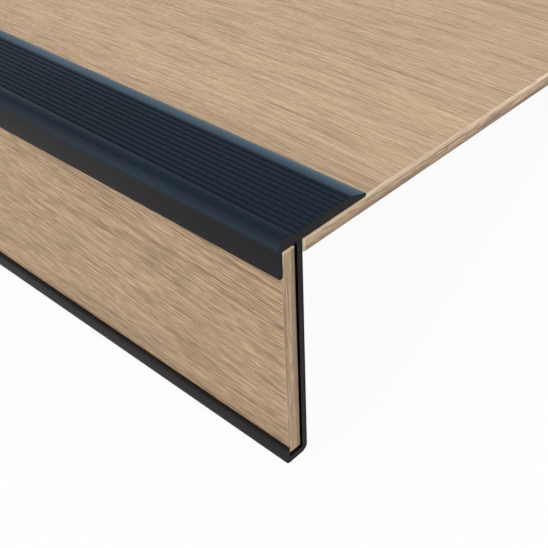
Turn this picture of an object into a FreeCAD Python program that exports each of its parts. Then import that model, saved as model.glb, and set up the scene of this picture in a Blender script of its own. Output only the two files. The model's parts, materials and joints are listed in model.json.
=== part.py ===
import FreeCAD, Part
import math
import os
import Sketcher

# A finished stair step in three pieces. A black extruded nosing has a ribbed head with a thin lip in
# front, a tapered wing behind and a web below that ends in a hook. The tread plank lies under the wing
# and meets the web's back, and the riser plank stands in the slot between the web, the lip and the hook.
#
# Each section is drawn in the step's own frame, in millimetres: X runs along the nosing, Y runs back
# from the web's rear face, and Z runs up from the underside of the wing, on which the tread plank lies.
# The finished step is then laid on the floor as it rests unheld: leaning back on the heel of the hook
# and on the rear edge of the tread plank, with the origin below the middle of its box.

SIZES = [
    ("stock_length", 1000, "length of the nosing and of both planks"),
    ("web_thickness", 3.05, "web behind the riser plank"),
    ("glue_gap", 1.5, "free space between the web and the riser plank"),
    ("head_thickness", 4.7, "from the underside of the wing to the tops of the ribs"),
    ("lip_thickness", 2.35, "lip in front of the riser plank"),
    ("lip_drop", 12.55, "lip below the underside of the head"),
    ("lip_end_round", 0.7, "both edges of the lip's lower end"),
    ("crown_round", 6, "front edge of the head"),
    ("bead_rise", 0.8, "top of the bead along the head's front, above the tops of the ribs"),
    ("bead_slope", 1.9, "rear slope of the bead, down to the first groove"),
    ("bead_round", 5, "where the bead turns down to the first groove"),
    ("inner_round", 0.5, "inside corners of the extrusion"),
    ("groove_setback", 9.9, "from the front of the lip to the middle of the first groove"),
    ("groove_pitch", 3.17, "from groove to groove"),
    ("groove_count", 11, "grooves in the head"),
    ("groove_width", 1.2, "groove at the tops of the ribs"),
    ("groove_floor", 0.6, "groove at its floor"),
    ("groove_depth", 0.65, "groove below the tops of the ribs"),
    ("rib_round", 0.5, "edges of the ribs"),
    ("wing_shoulder", 1.35, "flat strip between the last groove and the taper"),
    ("taper_length", 9.8, "sloping rear edge of the wing"),
    ("wing_tip", 1.6, "height of the wing's rear edge"),
    ("wing_tip_round", 0.7, "rounding of the wing's rear edge"),
    ("base_thickness", 3.4, "floor of the hook"),
    ("hook_thickness", 2.6, "upturned front of the hook"),
    ("hook_height", 9.65, "from the bottom of the hook to the top of its front"),
    ("hook_top_round", 1.3, "front edge at the top of the hook"),
    ("toe_round", 2.5, "front edge at the bottom of the hook"),
    ("heel_round", 3.6, "rear edge at the bottom of the hook"),
    ("tread_depth", 286, "tread plank from the web to its rear edge"),
    ("tread_thickness", 7, "tread plank"),
    ("tread_edge_round", 1.5, "edges of the tread plank: all but the next"),
    ("tread_end_round", 0.3, "sawn edges at the two ends of its underside"),
    ("riser_height", 113.9, "riser plank"),
    ("riser_thickness", 7, "riser plank"),
    ("riser_top_gap", 0.4, "between the riser plank and the head"),
    ("riser_bottom_gap", 2.2, "between the riser plank and the floor of the hook"),
    ("riser_edge_round", 1.1, "edges of the riser plank: all but the next"),
    ("riser_end_round", 0.3, "sawn edges at the two ends of its back"),
]

# Places across the step, worked out from the sheet
WEB_FRONT = "-sizes.web_thickness"
RISER_BACK = f"({WEB_FRONT} - sizes.glue_gap)"
RISER_FRONT = f"({RISER_BACK} - sizes.riser_thickness)"
LIP_FRONT = f"({RISER_FRONT} - sizes.lip_thickness)"
HOOK_FRONT = f"({RISER_FRONT} - sizes.hook_thickness)"
FIRST_GROOVE = f"({LIP_FRONT} + sizes.groove_setback)"
GROOVE_EDGE = f"({FIRST_GROOVE} - sizes.groove_width / 2)"
BEAD_REAR = f"({GROOVE_EDGE} - sizes.bead_slope)"
LAST_GROOVE = f"({FIRST_GROOVE} + (sizes.groove_count - 1) * sizes.groove_pitch)"
TAPER_START = f"({LAST_GROOVE} + sizes.groove_width / 2 + sizes.wing_shoulder)"
WING_REAR = f"({TAPER_START} + sizes.taper_length)"

# Heights, worked out from the sheet
RISER_TOP = "-sizes.riser_top_gap"
RISER_BOTTOM = f"({RISER_TOP} - sizes.riser_height)"
HOOK_FLOOR = f"({RISER_BOTTOM} - sizes.riser_bottom_gap)"
HOOK_BOTTOM = f"({HOOK_FLOOR} - sizes.base_thickness)"
HOOK_TOP = f"({HOOK_BOTTOM} + sizes.hook_height)"
LIP_BOTTOM = "-sizes.lip_drop"
RIB_TOP = "sizes.head_thickness"
BEAD_TOP = f"({RIB_TOP} + sizes.bead_rise)"
GROOVE_BOTTOM = f"({RIB_TOP} - sizes.groove_depth)"

# The nosing's section, one corner after another: across, up and the size that rounds it
NOSING_CORNERS = [
    (LIP_FRONT, BEAD_TOP, "crown_round"),
    (BEAD_REAR, BEAD_TOP, "bead_round"),
    (GROOVE_EDGE, RIB_TOP, None),
    (TAPER_START, RIB_TOP, None),
    (WING_REAR, "sizes.wing_tip", "wing_tip_round"),
    (WING_REAR, "0", "wing_tip_round"),
    ("0", "0", "inner_round"),
    ("0", HOOK_BOTTOM, "heel_round"),
    (HOOK_FRONT, HOOK_BOTTOM, "toe_round"),
    (HOOK_FRONT, HOOK_TOP, "hook_top_round"),
    (RISER_FRONT, HOOK_TOP, "inner_round"),
    (RISER_FRONT, HOOK_FLOOR, "inner_round"),
    (WEB_FRONT, HOOK_FLOOR, "inner_round"),
    (WEB_FRONT, "0", "inner_round"),
    (RISER_FRONT, "0", "inner_round"),
    (RISER_FRONT, LIP_BOTTOM, "lip_end_round"),
    (LIP_FRONT, LIP_BOTTOM, "lip_end_round"),
]

# The groove's cutter is open to the air above the ribs by its own depth
GROOVE_CORNERS = [
    (GROOVE_EDGE, RIB_TOP),
    (f"{FIRST_GROOVE} - sizes.groove_floor / 2", GROOVE_BOTTOM),
    (f"{FIRST_GROOVE} + sizes.groove_floor / 2", GROOVE_BOTTOM),
    (f"{FIRST_GROOVE} + sizes.groove_width / 2", RIB_TOP),
    (f"{FIRST_GROOVE} + sizes.groove_width / 2", f"{RIB_TOP} + sizes.groove_depth"),
    (GROOVE_EDGE, f"{RIB_TOP} + sizes.groove_depth"),
]

TREAD_CORNERS = [
    ("0", "0"),
    ("sizes.tread_depth", "0"),
    ("sizes.tread_depth", "-sizes.tread_thickness"),
    ("0", "-sizes.tread_thickness"),
]

RISER_CORNERS = [
    (RISER_FRONT, RISER_TOP),
    (RISER_BACK, RISER_TOP),
    (RISER_BACK, RISER_BOTTOM),
    (RISER_FRONT, RISER_BOTTOM),
]

NEAR = 1e-4  # how closely an edge has to lie on the corner that it is found by


def make_sheet(doc):
    sheet = doc.addObject("Spreadsheet::Sheet", "sizes")
    for row, (name, value, note) in enumerate(SIZES, start=1):
        sheet.set(f"A{row}", name)
        sheet.set(f"B{row}", str(value))
        sheet.set(f"C{row}", note)
        sheet.setAlias(f"B{row}", name)
    doc.recompute()
    return sheet


def new_body(doc, label):
    body = doc.addObject("PartDesign::Body", label)
    body.Label = label
    return body


def origin_part(body, role):
    return next(part for part in body.Origin.OriginFeatures if part.Role == role)


def draw_outline(body, name, corners):
    # A closed outline across the step, each corner held by its two expressions
    sketch = body.newObject("Sketcher::SketchObject", name)
    sketch.AttachmentSupport = [(origin_part(body, "YZ_Plane"), "")]
    sketch.MapMode = "FlatFace"
    places = [(float(sketch.evalExpression(c[0])), float(sketch.evalExpression(c[1]))) for c in corners]
    count = len(corners)
    for here in range(count):
        start = FreeCAD.Vector(*places[here], 0)
        end = FreeCAD.Vector(*places[(here + 1) % count], 0)
        sketch.addGeometry(Part.LineSegment(start, end), False)
    for here in range(count):
        sketch.addConstraint(Sketcher.Constraint("Coincident", here, 2, (here + 1) % count, 1))
    for here, corner in enumerate(corners):
        for way, place, words in zip(("DistanceX", "DistanceY"), places[here], corner):
            held = sketch.addConstraint(Sketcher.Constraint(way, -1, 1, here, 1, place))
            sketch.setExpression(f"Constraints[{held}]", words)
    return sketch


def extrude_outline(body, sketch):
    pad = body.newObject("PartDesign::Pad", sketch.Name + "_pad")
    pad.Profile = sketch
    pad.SideType = "Symmetric"
    pad.setExpression("Length", "sizes.stock_length")
    body.Document.recompute()
    return pad


def edges_along(shape, corners):
    # The names of the edges that run along the step through these corners of a section
    names = []
    for number, edge in enumerate(shape.Edges, start=1):
        ends = [vertex.Point for vertex in edge.Vertexes]
        if len(ends) != 2 or abs(ends[0].x - ends[1].x) < NEAR:
            continue
        for across, up in corners:
            if all(abs(end.y - across) < NEAR and abs(end.z - up) < NEAR for end in ends):
                names.append(f"Edge{number}")
    return names


def round_edges(body, corners, size):
    base = body.Tip
    places = [(float(base.evalExpression(c[0])), float(base.evalExpression(c[1]))) for c in corners]
    fillet = body.newObject("PartDesign::Fillet", f"{body.Name}_{size}")
    fillet.Base = (base, edges_along(base.Shape, places))
    fillet.setExpression("Radius", f"sizes.{size}")
    body.Tip = fillet
    body.Document.recompute()
    return fillet


def sawn_and_other_edges(shape, back_way):
    # The names of the edges at the two ends of a plank's flat back, which faces back_way, and of all others
    flats = [face for face in shape.Faces if face.normalAt(0, 0).isEqual(back_way, NEAR)]
    back = max(flats, key=lambda face: face.Area)
    ends = [rim for rim in back.Edges if rim.BoundBox.XLength < NEAR]
    sawn, others = [], []
    for number, edge in enumerate(shape.Edges, start=1):
        group = sawn if any(edge.isSame(end) for end in ends) else others
        group.append(f"Edge{number}")
    return sawn, others


def round_plank(body, back_way, edge_size, end_size):
    # Most edges are rounded first, and then the two that the saw leaves sharper
    for size, group in ((edge_size, 1), (end_size, 0)):
        base = body.Tip
        fillet = body.newObject("PartDesign::Fillet", f"{body.Name}_{size}")
        fillet.Base = (base, sawn_and_other_edges(base.Shape, back_way)[group])
        fillet.setExpression("Radius", f"sizes.{size}")
        body.Tip = fillet
        body.Document.recompute()


def cut_grooves(body):
    pocket = body.newObject("PartDesign::Pocket", "first_groove")
    pocket.Profile = draw_outline(body, "groove_section", GROOVE_CORNERS)
    pocket.SideType = "Symmetric"
    pocket.Type = "ThroughAll"
    body.Document.recompute()
    pattern = body.newObject("PartDesign::LinearPattern", "grooves")
    pattern.Originals = [pocket]
    pattern.Direction = (origin_part(body, "Y_Axis"), [""])
    pattern.setExpression("Length", "(sizes.groove_count - 1) * sizes.groove_pitch")
    pattern.setExpression("Occurrences", "sizes.groove_count")
    body.Tip = pattern
    body.Document.recompute()


def make_nosing_profile(doc, sheet):
    body = new_body(doc, "nosing_profile")
    extrude_outline(body, draw_outline(body, "nosing_section", [c[:2] for c in NOSING_CORNERS]))
    cut_grooves(body)
    rounds = sorted({size for _, _, size in NOSING_CORNERS if size})
    for size in rounds:
        round_edges(body, [c[:2] for c in NOSING_CORNERS if c[2] == size], size)
    rib_edges = []
    for groove in range(int(sheet.groove_count)):
        middle = f"{FIRST_GROOVE} + {groove} * sizes.groove_pitch"
        rib_edges.append((f"{middle} - sizes.groove_width / 2", RIB_TOP))
        rib_edges.append((f"{middle} + sizes.groove_width / 2", RIB_TOP))
    round_edges(body, rib_edges, "rib_round")
    return body


def make_tread_plank(doc):
    body = new_body(doc, "tread_plank")
    extrude_outline(body, draw_outline(body, "tread_section", TREAD_CORNERS))
    round_plank(body, FreeCAD.Vector(0, 0, -1), "tread_edge_round", "tread_end_round")
    return body


def make_riser_plank(doc):
    body = new_body(doc, "riser_plank")
    extrude_outline(body, draw_outline(body, "riser_section", RISER_CORNERS))
    round_plank(body, FreeCAD.Vector(0, 1, 0), "riser_edge_round", "riser_end_round")
    return body


def rest_angle(sheet):
    # The lean at which the round heel of the hook and the round rear edge of the plank share a floor
    heel_across = -sheet.heel_round
    heel_up = float(sheet.evalExpression(HOOK_BOTTOM)) + sheet.heel_round
    rear_across = sheet.tread_depth - sheet.tread_edge_round
    rear_up = sheet.tread_edge_round - sheet.tread_thickness
    span = math.hypot(rear_across - heel_across, rear_up - heel_up)
    slope = math.atan2(rear_up - heel_up, rear_across - heel_across)
    return math.degrees(slope + math.asin((sheet.heel_round - sheet.tread_edge_round) / span))


def lay_at_rest(bodies, angle):
    lean = FreeCAD.Rotation(FreeCAD.Vector(1, 0, 0), -angle)
    leaning = [body.Shape.transformed(FreeCAD.Placement(FreeCAD.Vector(), lean).toMatrix()) for body in bodies]
    box = Part.makeCompound(leaning).optimalBoundingBox(False)
    for body in bodies:
        body.Placement = FreeCAD.Placement(FreeCAD.Vector(0, -box.Center.y, -box.ZMin), lean)


def check_document(doc, bodies):
    doc.recompute()
    for item in doc.Objects:
        if "Invalid" in item.State or "Error" in item.State:
            raise RuntimeError(f"{item.Name} failed: {item.State}")
        if item.TypeId in ("PartDesign::Pocket", "PartDesign::LinearPattern"):
            if item.Shape.Volume >= item.BaseFeature.Shape.Volume:
                raise RuntimeError(f"{item.Name} cut nothing")
    for body in bodies:
        if body.Shape.isNull() or not body.Shape.isValid():
            raise RuntimeError(f"{body.Label} has no valid shape")


def write_parts(bodies):
    os.makedirs("parts", exist_ok=True)
    for body in bodies:
        body.Shape.exportStep(f"parts/{body.Label}.step")
        box = body.Shape.BoundBox
        print(f"{body.Label}: {box.XLength:.1f} x {box.YLength:.1f} x {box.ZLength:.1f} mm,", end=" ")
        print(f"{len(body.Shape.Solids)} solid, {body.Shape.Volume / 1000:.1f} cubic cm")


def main():
    doc = FreeCAD.newDocument("stair_tread")
    sheet = make_sheet(doc)
    bodies = [make_nosing_profile(doc, sheet), make_tread_plank(doc), make_riser_plank(doc)]
    angle = rest_angle(sheet)
    lay_at_rest(bodies, angle)
    check_document(doc, bodies)
    write_parts(bodies)
    print(f"the step leans back by {angle:.2f} degrees")


main()
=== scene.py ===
import bpy
import bmesh
import json
from math import atan2, radians, tan
from mathutils import Matrix, Vector


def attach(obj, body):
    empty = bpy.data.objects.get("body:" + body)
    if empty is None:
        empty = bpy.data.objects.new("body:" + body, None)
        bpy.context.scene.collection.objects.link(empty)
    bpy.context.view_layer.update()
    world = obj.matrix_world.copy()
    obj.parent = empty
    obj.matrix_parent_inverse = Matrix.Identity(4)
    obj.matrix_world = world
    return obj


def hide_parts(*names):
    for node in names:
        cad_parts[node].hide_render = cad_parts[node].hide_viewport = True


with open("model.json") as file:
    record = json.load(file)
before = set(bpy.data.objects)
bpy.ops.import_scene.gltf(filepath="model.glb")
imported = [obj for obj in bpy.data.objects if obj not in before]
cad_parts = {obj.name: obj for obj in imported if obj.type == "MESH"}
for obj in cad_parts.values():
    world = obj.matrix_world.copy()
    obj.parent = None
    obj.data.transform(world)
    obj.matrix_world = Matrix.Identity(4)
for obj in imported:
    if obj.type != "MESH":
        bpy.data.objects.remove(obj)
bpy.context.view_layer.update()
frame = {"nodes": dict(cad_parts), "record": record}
scene = bpy.context.scene
print("frame loaded:", ", ".join(sorted(frame["nodes"])))

tiny = 1e-6  # metres: places nearer to each other than this are the same
flatWay = 0.999  # a face this much along a direction looks straight that way
endTilt = 0.3  # a face belongs to a sawn end when it looks along the step more than this
smoothBelow = radians(28)  # edges that turn more than this stay sharp

# The step leans back on the floor. Its own frame has its corner where the web's back meets the
# underside of the wing: X along the nosing, Y back along the tread, Z up out of the tread.
mounts = {mount["name"]: mount for mount in frame["record"]["mounts"]}
down = Vector(mounts["tread_underside"]["axis"])
back = Vector(mounts["web_back"]["axis"])
under = Vector(mounts["tread_underside"]["pos_m"])
behind = Vector(mounts["web_back"]["pos_m"])

tread = {
    "node": "tread_plank",
    "length": 1.0,
    "depth": 0.286,
    "thickness": 0.007,
    "edgeRound": 0.0015,
    "edgeSteps": 5,
    "endRound": 0.0003,
    "endSteps": 3,
    "backWay": (0, 0, -1),
}

# from the two mounts: level with the tread's top face, and flush with the web's back
corner = under - down * tread["thickness"]
corner = corner + back * (behind - corner).dot(back)
corner.x = 0.0
leanAngle = atan2(-down.y, -down.z)
stepToFloor = Matrix.Translation(corner) @ Matrix.Rotation(-leanAngle, 4, "X")

riser = {
    "node": "riser_plank",
    "height": 0.1139,
    "thickness": 0.007,
    "topGap": 0.0004,
    "edgeRound": 0.0011,
    "edgeSteps": 5,
    "endRound": 0.0003,
    "endSteps": 3,
    "backWay": (0, 1, 0),
}

nosing = {
    "node": "nosing_profile",
    "length": 1.0,
    "web": 0.00305,
    "glueGap": 0.0015,
    "head": 0.0047,
    "lip": 0.00235,
    "lipDrop": 0.01255,
    "lipEndRound": 0.0007,
    "crownRound": 0.006,
    "beadRise": 0.0008,
    "beadSlope": 0.0019,
    "beadRound": 0.005,
    "innerRound": 0.0005,
    "grooveSetback": 0.0099,
    "groovePitch": 0.00317,
    "grooves": 11,
    "grooveWidth": 0.0012,
    "grooveFloor": 0.0006,
    "grooveDepth": 0.00065,
    "ribRound": 0.0005,
    "shoulder": 0.00135,
    "taper": 0.0098,
    "tip": 0.0016,
    "tipRound": 0.0007,
    "base": 0.0034,
    "hook": 0.0026,
    "hookHeight": 0.00965,
    "hookTopRound": 0.0013,
    "toeRound": 0.0025,
    "heelRound": 0.0036,
    "bottomGap": 0.0022,
    "sawnEdge": 0.0002,
    "ribsAbove": 0.0002,
}
# how many segments the roundings of the section have
roundSteps = {"crownRound": 16, "beadRound": 5, "heelRound": 10, "toeRound": 8, "ribRound": 3}
otherSteps = 6

riserBack = -nosing["web"] - nosing["glueGap"]
slotFront = riserBack - riser["thickness"]
lipFront = slotFront - nosing["lip"]
firstGroove = lipFront + nosing["grooveSetback"]
lastGroove = firstGroove + (nosing["grooves"] - 1) * nosing["groovePitch"]
taperStart = lastGroove + nosing["grooveWidth"] / 2 + nosing["shoulder"]
ribsFront = firstGroove - nosing["grooveWidth"] / 2 - nosing["ribRound"] / 2
endX = tread["length"] / 2


def roundEdges(mesh, edges, offset, steps):
    bmesh.ops.bevel(mesh, geom=edges, offset=offset, segments=steps, profile=0.5,
                    affect="EDGES", material=-1, clamp_overlap=False)


def edgeAlong(mesh, place):
    # the edge that runs along the step through this place of its section
    y, z = place
    return [edge for edge in mesh.edges
            if abs(edge.verts[0].co.x - edge.verts[1].co.x) > nosing["length"] / 2
            and all(abs(end.co.y - y) < tiny and abs(end.co.z - z) < tiny for end in edge.verts)]


def finishPiece(mesh, name, materials):
    # the sawn ends, with the steeper part of their rims, carry the second material
    mesh.normal_update()
    for face in mesh.faces:
        if abs(face.normal.x) > endTilt:
            face.material_index = 1
    # turns the step's own frame into the floor's, and leaves the object itself at the origin
    bmesh.ops.transform(mesh, matrix=stepToFloor, verts=mesh.verts)
    bmesh.ops.recalc_face_normals(mesh, faces=mesh.faces)
    data = bpy.data.meshes.new(name)
    mesh.to_mesh(data)
    mesh.free()
    piece = bpy.data.objects.new(name, data)
    scene.collection.objects.link(piece)
    for material in materials:
        data.materials.append(material)
    for face in data.polygons:
        face.use_smooth = True
    data.set_sharp_from_angle(angle=smoothBelow)
    return piece


def nosingCorners():
    # the section's corners in turn, each with the size that rounds it, or None where it stays sharp
    n = nosing
    webFront = -n["web"]
    hookFront = slotFront - n["hook"]
    hookFloor = -riser["topGap"] - riser["height"] - n["bottomGap"]
    bottom = hookFloor - n["base"]
    hookTop = bottom + n["hookHeight"]
    beadTop = n["head"] + n["beadRise"]
    beadRear = firstGroove - n["grooveWidth"] / 2 - n["beadSlope"]
    wingRear = taperStart + n["taper"]
    corners = [((lipFront, beadTop), "crownRound"), ((beadRear, beadTop), "beadRound")]
    for number in range(n["grooves"]):
        middle = firstGroove + number * n["groovePitch"]
        floor = n["head"] - n["grooveDepth"]
        corners += [
            ((middle - n["grooveWidth"] / 2, n["head"]), "ribRound"),
            ((middle - n["grooveFloor"] / 2, floor), None),
            ((middle + n["grooveFloor"] / 2, floor), None),
            ((middle + n["grooveWidth"] / 2, n["head"]), "ribRound"),
        ]
    corners += [
        ((taperStart, n["head"]), None),
        ((wingRear, n["tip"]), "tipRound"),
        ((wingRear, 0.0), "tipRound"),
        ((0.0, 0.0), "innerRound"),
        ((0.0, bottom), "heelRound"),
        ((hookFront, bottom), "toeRound"),
        ((hookFront, hookTop), "hookTopRound"),
        ((slotFront, hookTop), "innerRound"),
        ((slotFront, hookFloor), "innerRound"),
        ((webFront, hookFloor), "innerRound"),
        ((webFront, 0.0), "innerRound"),
        ((slotFront, 0.0), "innerRound"),
        ((slotFront, -n["lipDrop"]), "lipEndRound"),
        ((lipFront, -n["lipDrop"]), "lipEndRound"),
    ]
    return corners


def makeNosing(materials):
    corners = nosingCorners()
    mesh = bmesh.new()
    half = nosing["length"] / 2
    section = mesh.faces.new([mesh.verts.new((-half, y, z)) for (y, z), size in corners])
    grown = bmesh.ops.extrude_face_region(mesh, geom=[section])
    far = [item for item in grown["geom"] if isinstance(item, bmesh.types.BMVert)]
    bmesh.ops.translate(mesh, verts=far, vec=(nosing["length"], 0, 0))
    for number, (place, size) in enumerate(corners):
        if not size:
            continue
        # how far the rounding reaches from a corner depends on how sharply the outline turns there
        before = Vector(place) - Vector(corners[number - 1][0])
        after = Vector(corners[(number + 1) % len(corners)][0]) - Vector(place)
        reach = nosing[size] * tan(before.angle(after) / 2)
        roundEdges(mesh, edgeAlong(mesh, place), reach, roundSteps.get(size, otherSteps))
    # the saw leaves a fine bevel around each end
    ends = [face for face in mesh.faces if abs(abs(face.calc_center_median().x) - half) < tiny]
    for end in ends:
        rim = list(end.verts)
        bmesh.ops.inset_region(mesh, faces=[end], thickness=nosing["sawnEdge"], use_even_offset=True)
        side = 1 if rim[0].co.x > 0 else -1
        bmesh.ops.translate(mesh, verts=rim, vec=(-side * nosing["sawnEdge"], 0, 0))
    # the ribs, the shoulder and the taper carry the third material
    for face in mesh.faces:
        middle = face.calc_center_median()
        if middle.z > nosing["ribsAbove"] and middle.y > ribsFront:
            face.material_index = 2
    return finishPiece(mesh, "nosing", materials)


def makePlank(name, size, low, high, materials):
    mesh = bmesh.new()
    bmesh.ops.create_cube(mesh, size=1.0)
    low, high = Vector(low), Vector(high)
    bmesh.ops.scale(mesh, verts=mesh.verts, vec=high - low)
    bmesh.ops.translate(mesh, verts=mesh.verts, vec=(low + high) / 2)
    # most edges are rounded first, and then the two that the saw leaves sharper, at the ends of the back
    for rounding, sawn in (("edge", False), ("end", True)):
        mesh.normal_update()
        flats = [face for face in mesh.faces if face.normal.dot(Vector(size["backWay"])) > flatWay]
        rim = max(flats, key=lambda face: face.calc_area()).edges
        ends = {edge for edge in rim if abs(edge.verts[0].co.x - edge.verts[1].co.x) < tiny}
        chosen = [edge for edge in mesh.edges if (edge in ends) == sawn]
        roundEdges(mesh, chosen, size[rounding + "Round"], size[rounding + "Steps"])
    return finishPiece(mesh, name, materials)


def addNode(tree, kind, **values):
    # each value goes into the input of that name, or else into the node's own setting
    node = tree.nodes.new(kind)
    for key, value in values.items():
        if key in node.inputs:
            node.inputs[key].default_value = value
        else:
            setattr(node, key, value)
    return node


def link(tree, source, target):
    tree.links.new(source, target)


def stepCoordinates(tree):
    # object coordinates turned back into the step's own frame: the vector, and its parts by axis
    place = addNode(tree, "ShaderNodeTexCoord")
    turn = addNode(tree, "ShaderNodeMapping", vector_type="TEXTURE")
    turn.inputs["Location"].default_value = corner
    turn.inputs["Rotation"].default_value = (-leanAngle, 0, 0)
    link(tree, place.outputs["Object"], turn.inputs["Vector"])
    split = addNode(tree, "ShaderNodeSeparateXYZ")
    link(tree, turn.outputs["Vector"], split.inputs["Vector"])
    return turn.outputs["Vector"], split.outputs


def calc(tree, operation, a, b=None, c=None):
    node = addNode(tree, "ShaderNodeMath", operation=operation)
    for socket, value in zip(node.inputs, (a, b, c)):
        if value is None:
            continue
        if isinstance(value, (int, float)):
            socket.default_value = value
        else:
            link(tree, value, socket)
    return node.outputs["Value"]


def joined(tree, x, y, z):
    node = addNode(tree, "ShaderNodeCombineXYZ")
    for socket, value in zip(node.inputs, (x, y, z)):
        link(tree, value, socket)
    return node.outputs["Vector"]


def noise(tree, vector, stretch, detail=2.0, rough=0.5, shift=(0, 0, 0)):
    # stretch is about how many times the pattern turns in a metre, along each axis of the vector
    scale = addNode(tree, "ShaderNodeMapping", vector_type="POINT")
    scale.inputs["Scale"].default_value = stretch
    scale.inputs["Location"].default_value = shift
    link(tree, vector, scale.inputs["Vector"])
    texture = addNode(tree, "ShaderNodeTexNoise", Scale=1.0, Detail=detail, Roughness=rough)
    link(tree, scale.outputs["Vector"], texture.inputs["Vector"])
    return texture.outputs["Fac"]


def ramp(tree, value, span, origin=0.0, start=0.0, end=1.0):
    # goes softly from start to end while the value passes the span, which is measured from the origin
    node = addNode(tree, "ShaderNodeMapRange", interpolation_type="SMOOTHSTEP")
    node.inputs["From Min"].default_value = origin + span[0]
    node.inputs["From Max"].default_value = origin + span[1]
    node.inputs["To Min"].default_value = start
    node.inputs["To Max"].default_value = end
    link(tree, value, node.inputs["Value"])
    return node.outputs["Result"]


def blendColour(tree, amount, first, second):
    # the mix node has its factor in input 0, its colours in inputs 6 and 7, and the result in output 2
    node = addNode(tree, "ShaderNodeMix", data_type="RGBA")
    for index, value in ((0, amount), (6, first), (7, second)):
        socket = node.inputs[index]
        if isinstance(value, (int, float)):
            socket.default_value = value
        elif isinstance(value, (tuple, list)):
            socket.default_value = (*value, 1.0)
        else:
            link(tree, value, socket)
    return node.outputs[2]


def newMaterial(name):
    material = bpy.data.materials.new(name)
    material.use_nodes = True
    tree = material.node_tree
    return material, tree, tree.nodes["Principled BSDF"]


def addRelief(tree, shader, height, kind):
    strength = kind["reliefStrength"]
    distance = kind["reliefDistance"]
    bump = addNode(tree, "ShaderNodeBump", Strength=strength, Distance=distance)
    link(tree, height, bump.inputs["Height"])
    link(tree, bump.outputs["Normal"], shader.inputs["Normal"])


# what all oak faces share
oak = {
    "wanderStretch": (5, 16, 16),
    "lineSkew": 7.0,  # moves neighbouring lines along, so that they start at different places
    "beltStretch": (1.5, 17, 17),
    "beltDetail": 1.5,
    "beltSpan": (0.42, 0.62),
    "beltWander": 2.5,  # the belts wander this many times as far as the lines
    "lineRough": 0.6,
    "specular": 0.25,
    "poreRough": 0.15,
    "fibreRough": 0.06,
    "poreRelief": -1.0,
    "fibreRelief": -0.35,
    "reliefStrength": 0.5,
    "reliefDistance": 0.00012,
}

# Layers of lines. The size is their length and width in metres, or it multiplies the size of the look
# that "of" names. The span is the part of the noise over which they come in.
oakLayers = {
    "cloud": {"size": (0.2, 0.03), "span": (0.3, 0.7)},
    "tint": {"size": (0.25, 0.012), "span": (0.35, 0.65), "shift": (1.3, 9.2, 6.0)},
    "streak": {"of": "lines", "size": (2.0, 2.0), "span": (0.36, 0.64)},
    "fibre": {"of": "lines", "size": (1.0, 1.0), "span": (0.40, 0.60), "shift": (6.4, 0.3, 3.0)},
    "thread": {"of": "lines", "size": (0.7, 0.8), "span": (0.44, 0.64),
               "detail": 1.0, "shift": (2.5, 7.9, 4.0)},
    "tick": {"of": "ticks", "size": (1.0, 1.0), "span": (0.46, 0.64),
             "detail": 1.0, "shift": (9.6, 1.8, 5.0)},
    "porePatch": {"size": (0.12, 0.009), "span": (0.42, 0.62), "detail": 1.0, "shift": (7.7, 2.9, 4.0)},
    "poreDash": {"of": "pores", "size": (1.0, 1.0), "span": (0.55, 0.63),
                 "detail": 1.0, "shift": (3.1, 5.2, 2.0)},
    "fleck": {"of": "pores", "size": (1.0, 1.0), "span": (0.56, 0.63),
              "detail": 1.0, "shift": (11.3, 8.4, 1.0)},
}


def oakLines(tree, grain, layer, look):
    # 1 where this layer's lines are at their strongest, 0 between them
    lookLength, lookWidth = look[layer["of"]] if "of" in layer else (1.0, 1.0)
    length = lookLength * layer["size"][0]
    width = lookWidth * layer["size"][1]
    pattern = noise(
        tree, grain, (1 / length, 1 / width, 1 / width),
        detail=layer.get("detail", 2.0), rough=oak["lineRough"], shift=layer.get("shift", look["shift"]))
    return ramp(tree, pattern, layer["span"])


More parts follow.
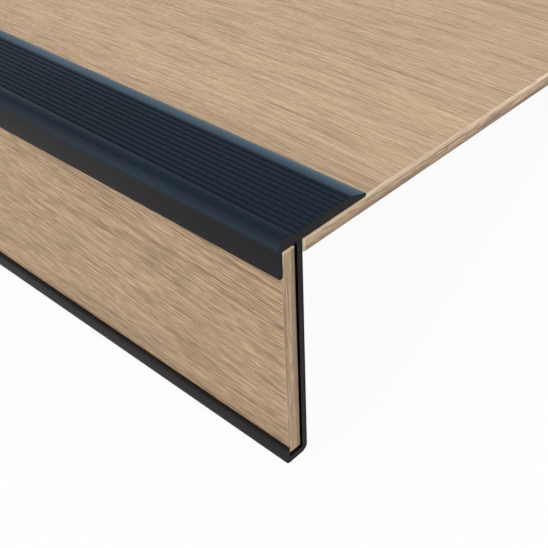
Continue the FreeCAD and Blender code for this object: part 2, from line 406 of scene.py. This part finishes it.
def makeOak(name, look):
    material, tree, shader = newMaterial(name)
    axes = stepCoordinates(tree)[1]
    along, across, through = (axes[axis] for axis in look["axes"])
    # the noise is at its crispest on whole numbers, so the depth is 0 on the face, and the shifts along
    # it are whole
    through = calc(tree, "SUBTRACT", through, look["level"])
    plain = joined(tree, along, across, through)
    # the grain wanders as it runs along, and arches over its peak
    wander = noise(tree, plain, oak["wanderStretch"], shift=look["shift"])
    wander = calc(tree, "MULTIPLY_ADD", wander, look["wander"], -look["wander"] / 2)
    fromPeak = calc(tree, "MULTIPLY", calc(tree, "SUBTRACT", along, look["peak"]), look["slope"])
    arch = calc(tree, "SQRT", calc(tree, "MULTIPLY_ADD", fromPeak, fromPeak, look["bend"] ** 2))
    moved = calc(tree, "ADD", calc(tree, "MULTIPLY_ADD", arch, look["follow"], across), wander)
    grain = joined(tree, calc(tree, "MULTIPLY_ADD", across, oak["lineSkew"], along), moved, through)
    part = {key: oakLines(tree, grain, layer, look) for key, layer in oakLayers.items()}
    part["pore"] = calc(tree, "MULTIPLY", part["poreDash"], part["porePatch"])

    # growth rings: broad soft belts that follow the arch
    rising = calc(tree, "ADD", calc(tree, "MULTIPLY_ADD", wander, oak["beltWander"], across), arch)
    hills = joined(tree, along, rising, through)
    belts = noise(tree, hills, oak["beltStretch"], detail=oak["beltDetail"], shift=look["shift"])
    part["belt"] = ramp(tree, belts, oak["beltSpan"])

    colour = blendColour(tree, part["tint"], look["warm"], look["cool"])
    for key, shade in (
        ("belt", "dark"),
        ("cloud", "dark"),
        ("streak", "dark"),
        ("fibre", "dark"),
        ("thread", "dark"),
        ("tick", "dark"),
        ("fleck", "pale"),
        ("pore", "pore"),
    ):
        depth = calc(tree, "MULTIPLY", part[key], look[key + "Depth"])
        colour = blendColour(tree, depth, colour, look[shade])
    # the rims paint shade where it falls, and highlights where rounded edges catch the light
    for rim in look["rims"]:
        nearRim = ramp(tree, axes[rim["axis"]], rim["span"])
        depth = calc(tree, "MULTIPLY", nearRim, rim["depth"])
        colour = blendColour(tree, depth, colour, look[rim["shade"]])
    link(tree, colour, shader.inputs["Base Color"])

    rough = calc(tree, "MULTIPLY_ADD", part["pore"], oak["poreRough"], look["rough"])
    rough = calc(tree, "MULTIPLY_ADD", part["fibre"], oak["fibreRough"], rough)
    link(tree, rough, shader.inputs["Roughness"])
    shader.inputs["Specular IOR Level"].default_value = oak["specular"]
    relief = calc(tree, "MULTIPLY", part["fibre"], oak["fibreRelief"])
    relief = calc(tree, "MULTIPLY_ADD", part["pore"], oak["poreRelief"], relief)
    addRelief(tree, shader, relief, oak)
    return material


treadFace = {
    "axes": ("X", "Y", "Z"),  # along, across and through the grain
    "level": 0.0,
    "shift": (0.0, 0.0, 0.0),
    "peak": 0.42,
    "slope": 0.41,
    "bend": 0.02,
    "follow": 0.12,
    "wander": 0.003,
    "lines": (0.075, 0.00062),
    "ticks": (0.006, 0.0004),
    "pores": (0.032, 0.0005),
    "warm": (0.694, 0.488, 0.302),
    "cool": (0.676, 0.489, 0.309),
    "dark": (0.30, 0.205, 0.13),
    "pale": (0.78, 0.60, 0.42),
    # the colour of the painted highlight along rounded edges
    "edgeHighlight": (0.78, 0.63, 0.48),
    "pore": (0.20, 0.13, 0.085),
    "beltDepth": 0.11,
    "cloudDepth": 0.03,
    "streakDepth": 0.03,
    "fibreDepth": 0.26,
    "threadDepth": 0.86,
    "tickDepth": 0.58,
    "fleckDepth": 0.26,
    "poreDepth": 0.50,
    "rough": 0.52,
    # painted shade: a little darker towards the nosing
    "rims": ({"axis": "Y", "span": (0.075, 0.042), "depth": 0.2, "shade": "dark"},),
}
riserFace = dict(
    treadFace,
    axes=("X", "Z", "Y"),
    level=slotFront,
    shift=(4.3, 2.1, 1.0),
    peak=-1.5,
    slope=0.06,
    follow=1.0,
    wander=0.0015,
    lines=(0.055, 0.0006),
    pores=(0.024, 0.0006),
    warm=(0.712, 0.487, 0.282),
    cool=(0.702, 0.486, 0.286),
    dark=(0.25, 0.168, 0.105),
    pore=(0.14, 0.085, 0.052),
    beltDepth=0.02,
    cloudDepth=0.01,
    streakDepth=0.02,
    fibreDepth=0.17,
    threadDepth=0.90,
    tickDepth=0.95,
    fleckDepth=0.18,
    poreDepth=0.60,
    # painted highlight: paler along the rounded edges at both ends
    rims=(
        {"axis": "X", "span": (endX - 0.0016, endX - 0.0008), "depth": 0.2, "shade": "edgeHighlight"},
        {"axis": "X", "span": (0.0016 - endX, 0.0008 - endX), "depth": 0.2, "shade": "edgeHighlight"},
    ),
)
sawnEnd = dict(
    treadFace,
    level=endX,
    peak=3.0,
    slope=0.01,
    wander=0.002,
    lines=(0.04, 0.0009),
    ticks=(0.006, 0.0007),
    pores=(0.03, 0.0008),
    streakDepth=0.35,
    fibreDepth=0.55,
    threadDepth=0.85,
    poreDepth=0.8,
)
treadEnd = dict(
    sawnEnd,
    axes=("Y", "Z", "X"),
    shift=(1.7, 6.3, 2.0),
    warm=(0.885, 0.638, 0.398),
    cool=(0.835, 0.632, 0.413),
    tickDepth=0.90,
    fleckDepth=0.5,
    # painted shade: darker at the underside; painted highlight: paler along the rounded top and front
    # edges
    rims=(
        {"axis": "Z", "span": (-0.0038, -0.0060), "depth": 0.65, "shade": "pore"},
        {"axis": "Z", "span": (-0.0021, -0.0012), "depth": 0.5, "shade": "edgeHighlight"},
        {"axis": "Y", "span": (0.0021, 0.0012), "depth": 0.6, "shade": "edgeHighlight"},
    ),
)
riserEnd = dict(
    sawnEnd,
    axes=("Z", "Y", "X"),
    shift=(8.2, 0.4, 5.0),
    warm=(0.600, 0.430, 0.266),
    cool=(0.566, 0.430, 0.278),
    tickDepth=0.85,
    fleckDepth=0.35,
    # painted shade: darker towards the back, by the glue gap; painted highlight: paler along the rounded
    # top edge
    rims=(
        {"axis": "Y", "span": (riserBack - 0.0040, riserBack - 0.0004), "depth": 0.75, "shade": "pore"},
        {"axis": "Z", "span": (-0.0019, -0.0012), "depth": 0.6, "shade": "edgeHighlight"},
    ),
)

# what all coated faces share: stretches of noise, and spans in metres of the step's own frame
coat = {
    "mottleStretch": (9, 60, 60),
    "mottleDetail": 3.0,
    "mottleSpan": (0.3, 0.7),
    "mottleDepth": 0.2,
    "gritStretch": (1700, 1700, 1700),
    "drawnStretch": (5, 2600, 2600),
    "cutStretch": (40, 260, 3000),
    # where the painted sky reflection on the head and the painted highlight on the crown's curve come in
    "headSkySpan": (-0.0008, 0.0022),
    "crownHighlightLow": (-0.0012, 0.0018),
    "crownHighlightHigh": (0.0030, 0.0060),
    "crownHighlightBack": (0.0024, 0.0054),  # behind the lip's front
    # where the painted reflection on the crest comes in, and where it darkens before the first groove
    "crestSkySpan": (-0.0003, 0.0002),  # from the ribs' height
    "rearSpan": (-0.0032, -0.0022),  # from the first groove's middle
    # where the painted reflections on the taper come in
    "taperSkySpans": ((-0.0001, 0.0011), (0.0008, 0.0060), (0.0048, 0.0098)),  # from the taper's start
    "gapRear": (-0.0004, 0.0004),  # from the riser's back
    "gapWeb": (0.0004, 0.0010),  # from the web's front
    "black": (0.0, 0.0, 0.0),
    "rough": 0.33,
    "drawnRough": 0.10,
    "gritRough": 0.06,
    "drawnRelief": 0.4,
    "reliefStrength": 0.25,
    "reliefDistance": 0.00002,
}

# the wing's coat with a painted bluish sky reflection
wingSkyShade = (0.0036, 0.0140, 0.0330)
coatFace = {
    "shade": (0.0168, 0.0146, 0.0149),
    # the coat's colour with a painted bluish sky reflection on the head
    "headSkyShade": (0.0075, 0.0120, 0.0215),
    # a painted highlight on the crown's curve
    "crownHighlight": (0.0185, 0.0300, 0.0420),
    # a painted bluish reflection on the bead's crest, darker before the first groove
    "crestSkyShade": (0.0042, 0.0126, 0.0250),
    "crestRearSkyShade": (0.0, 0.0100, 0.0230),
    # painted light in the grooves, and how much of it
    "grooveLitShade": (0.0150, 0.0245, 0.0365),
    "grooveLightAmount": 0.0,
    # painted reflections on the taper, here all the same blue
    "taperSkyShades": (wingSkyShade, wingSkyShade, wingSkyShade),
    "specular": 0.055,
    "gapDepth": 0.9,
    "saw": 0.0,
}
# the ribs' coat, bluer with a painted sky reflection
ribSkyShade = (0.0108, 0.0188, 0.0298)
coatRibs = dict(
    coatFace,
    headSkyShade=ribSkyShade,
    crownHighlight=ribSkyShade,
    crestSkyShade=ribSkyShade,
    crestRearSkyShade=ribSkyShade,
    grooveLightAmount=0.9,
    # painted reflections on the taper, bluer and paler towards the rear edge
    taperSkyShades=((0.036, 0.062, 0.094), (0.040, 0.092, 0.140), (0.105, 0.138, 0.160)),
    specular=0.03,
    gapDepth=0.0,
)
endShade = (0.0162, 0.0153, 0.0160)
coatEnd = dict(
    coatFace,
    shade=endShade,
    headSkyShade=endShade,
    crownHighlight=endShade,
    crestSkyShade=endShade,
    crestRearSkyShade=endShade,
    taperSkyShades=(endShade, endShade, endShade),
    gapDepth=0.0,
    saw=0.5,
)


def makeBlackCoat(name, look):
    material, tree, shader = newMaterial(name)
    place, axes = stepCoordinates(tree)
    mottle = noise(tree, place, coat["mottleStretch"], detail=coat["mottleDetail"])
    mottle = ramp(tree, mottle, coat["mottleSpan"])
    grit = noise(tree, place, coat["gritStretch"])
    drawn = noise(tree, place, coat["drawnStretch"])
    cut = noise(tree, place, coat["cutStretch"])
    # painted reflection: a bluish reflection makes the coat bluer on the head than on the front and the
    # foot
    head = ramp(tree, axes["Z"], coat["headSkySpan"])
    colour = blendColour(tree, head, look["shade"], look["headSkyShade"])
    # painted highlight: the front of the crown's curve is a little paler
    crownHighlightLow = ramp(tree, axes["Z"], coat["crownHighlightLow"])
    crownHighlightHigh = ramp(tree, axes["Z"], coat["crownHighlightHigh"], 0.0, 1.0, 0.0)
    crownHighlightBack = ramp(tree, axes["Y"], coat["crownHighlightBack"], lipFront, 1.0, 0.0)
    crownHighlightMask = calc(tree, "MULTIPLY", calc(tree, "MULTIPLY", crownHighlightLow, crownHighlightHigh), crownHighlightBack)
    colour = blendColour(tree, crownHighlightMask, colour, look["crownHighlight"])
    # painted reflection and shade: the bead's crest is a deeper blue, and deepest just before the first
    # groove
    crest = ramp(tree, axes["Z"], coat["crestSkySpan"], nosing["head"])
    rear = ramp(tree, axes["Y"], coat["rearSpan"], firstGroove)
    crestColour = blendColour(tree, rear, look["crestSkyShade"], look["crestRearSkyShade"])
    colour = blendColour(tree, crest, colour, crestColour)
    # painted light in the grooves, against the shade that falls there
    paintedGrooveLight = ramp(tree, axes["Z"], (-nosing["grooveDepth"], 0.0), nosing["head"], look["grooveLightAmount"], 0.0)
    colour = blendColour(tree, paintedGrooveLight, colour, look["grooveLitShade"])
    # painted reflection: the wing is paler towards its rear edge
    for shade, span in zip(look["taperSkyShades"], coat["taperSkySpans"]):
        along = ramp(tree, axes["Y"], span, taperStart)
        colour = blendColour(tree, calc(tree, "MULTIPLY", along, head), colour, shade)
    # little light gets into the glue gap behind the riser
    gapRear = ramp(tree, axes["Y"], coat["gapRear"], riserBack)
    gapWeb = ramp(tree, axes["Y"], coat["gapWeb"], -nosing["web"], 1.0, 0.0)
    gap = calc(tree, "MULTIPLY", calc(tree, "MULTIPLY", gapRear, gapWeb), look["gapDepth"])
    colour = blendColour(tree, gap, colour, coat["black"])
    darker = blendColour(tree, coat["mottleDepth"], colour, coat["black"])
    link(tree, blendColour(tree, mottle, colour, darker), shader.inputs["Base Color"])

    rough = calc(tree, "MULTIPLY_ADD", drawn, coat["drawnRough"], coat["rough"])
    rough = calc(tree, "MULTIPLY_ADD", grit, coat["gritRough"], rough)
    link(tree, rough, shader.inputs["Roughness"])
    shader.inputs["Specular IOR Level"].default_value = look["specular"]
    relief = calc(tree, "MULTIPLY_ADD", drawn, coat["drawnRelief"], grit)
    relief = calc(tree, "MULTIPLY_ADD", cut, look["saw"], relief)
    addRelief(tree, shader, relief, coat)
    return material


def makePieces():
    nosingPiece = makeNosing([
        makeBlackCoat("blackCoat", coatFace),
        makeBlackCoat("blackEnd", coatEnd),
        makeBlackCoat("blackRibs", coatRibs),
    ])
    treadPiece = makePlank(
        "treadPlank", tread,
        (-endX, 0.0, -tread["thickness"]),
        (endX, tread["depth"], 0.0),
        [makeOak("oakTread", treadFace), makeOak("oakTreadEnd", treadEnd)])
    riserPiece = makePlank(
        "riserPlank", riser,
        (-endX, slotFront, -riser["topGap"] - riser["height"]),
        (endX, riserBack, -riser["topGap"]),
        [makeOak("oakRiser", riserFace), makeOak("oakRiserEnd", riserEnd)])
    for piece, size, slot in (
        (nosingPiece, nosing, "black_anodised"),
        (treadPiece, tread, "oak_tread"),
        (riserPiece, riser, "oak_riser"),
    ):
        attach(piece, "root")
        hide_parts(size["node"])
    print("pieces made:", nosingPiece.name, treadPiece.name, riserPiece.name)


studio = {
    "white": (1, 1, 1, 1),
    "floorReach": 12.0,
    "floorShade": (0.8, 0.8, 0.8, 1),
    "floorGlow": 0.95,  # how much of the floor is plain white where it is seen, so a faint shadow stays
    "softLight": 0.3,
}


def seenWhite(tree):
    # 1 for the rays that show the background itself
    rays = addNode(tree, "ShaderNodeLightPath")
    watched = calc(tree, "MAXIMUM", rays.outputs["Is Camera Ray"], rays.outputs["Is Glossy Ray"])
    return calc(tree, "MAXIMUM", watched, rays.outputs["Is Transmission Ray"])


def mixShaders(tree, amount, first, second, target):
    node = addNode(tree, "ShaderNodeMixShader")
    link(tree, amount, node.inputs["Fac"])
    link(tree, first, node.inputs[1])
    link(tree, second, node.inputs[2])
    link(tree, node.outputs["Shader"], target)


def makeFloor():
    mesh = bmesh.new()
    bmesh.ops.create_grid(mesh, x_segments=1, y_segments=1, size=studio["floorReach"])
    data = bpy.data.meshes.new("floor")
    mesh.to_mesh(data)
    mesh.free()
    floor = bpy.data.objects.new("floor", data)
    scene.collection.objects.link(floor)
    material, tree, shader = newMaterial("floorWhite")
    tree.nodes.remove(shader)
    matte = addNode(tree, "ShaderNodeBsdfDiffuse", Color=studio["floorShade"])
    glow = addNode(tree, "ShaderNodeEmission", Color=studio["white"], Strength=1.0)
    seen = calc(tree, "MULTIPLY", seenWhite(tree), studio["floorGlow"])
    surface = tree.nodes["Material Output"].inputs["Surface"]
    mixShaders(tree, seen, matte.outputs["BSDF"], glow.outputs["Emission"], surface)
    data.materials.append(material)


def makeWorld():
    world = bpy.data.worlds.new("studio")
    scene.world = world
    world.use_nodes = True
    tree = world.node_tree
    soft = tree.nodes["Background"]
    soft.inputs["Color"].default_value = studio["white"]
    soft.inputs["Strength"].default_value = studio["softLight"]
    white = addNode(tree, "ShaderNodeBackground", Color=studio["white"], Strength=1.0)
    surface = tree.nodes["World Output"].inputs["Surface"]
    mixShaders(tree, seenWhite(tree), soft.outputs["Background"], white.outputs["Background"], surface)


lamps = {
    "topSoft": {"place": (0.2, 0.7, 2.3), "target": (0.3, 0.0, 0.0), "size": 2.2, "power": 40},
    "leftSoft": {"place": (-0.8, -2.1, 1.2), "target": (0.35, -0.1, 0.1), "size": 1.0, "power": 21},
    "rightSoft": {"place": (2.3, -0.5, 1.0), "target": (0.45, -0.1, 0.05), "size": 1.5, "power": 17},
}


def makeLights():
    for name, look in lamps.items():
        data = bpy.data.lights.new(name, "AREA")
        data.shape = "SQUARE"
        data.size = look["size"]
        data.energy = look["power"]
        lamp = bpy.data.objects.new(name, data)
        aim = (Vector(look["target"]) - Vector(look["place"])).to_track_quat("-Z", "Y")
        lamp.matrix_world = Matrix.Translation(look["place"]) @ aim.to_matrix().to_4x4()
        scene.collection.objects.link(lamp)


# the photo's view, in the step's own frame; the place is measured from the corner at its right end
view = {
    "place": (0.2, -0.2178, 0.2125),
    "right": (0.72916, 0.68332, -0.03743),
    "up": (-0.39776, 0.46769, 0.78934),
    "lens": 61.6035,
    "sensor": 36,
    "nearest": 0.01,
}


def makeCamera():
    data = bpy.data.cameras.new("camera")
    data.lens = view["lens"]
    data.sensor_width = view["sensor"]
    data.clip_start = view["nearest"]
    camera = bpy.data.objects.new("camera", data)
    right = Vector(view["right"]).normalized()
    up = Vector(view["up"])
    up = (up - right * up.dot(right)).normalized()
    turn = Matrix((right, up, right.cross(up))).transposed().to_4x4()
    place = Vector(view["place"]) + Vector((endX, 0, 0))
    camera.matrix_world = stepToFloor @ Matrix.Translation(place) @ turn
    scene.collection.objects.link(camera)
    scene.camera = camera


makePieces()
makeFloor()
makeWorld()
makeLights()
makeCamera()
scene.view_settings.view_transform = "Standard"
print("stage set")
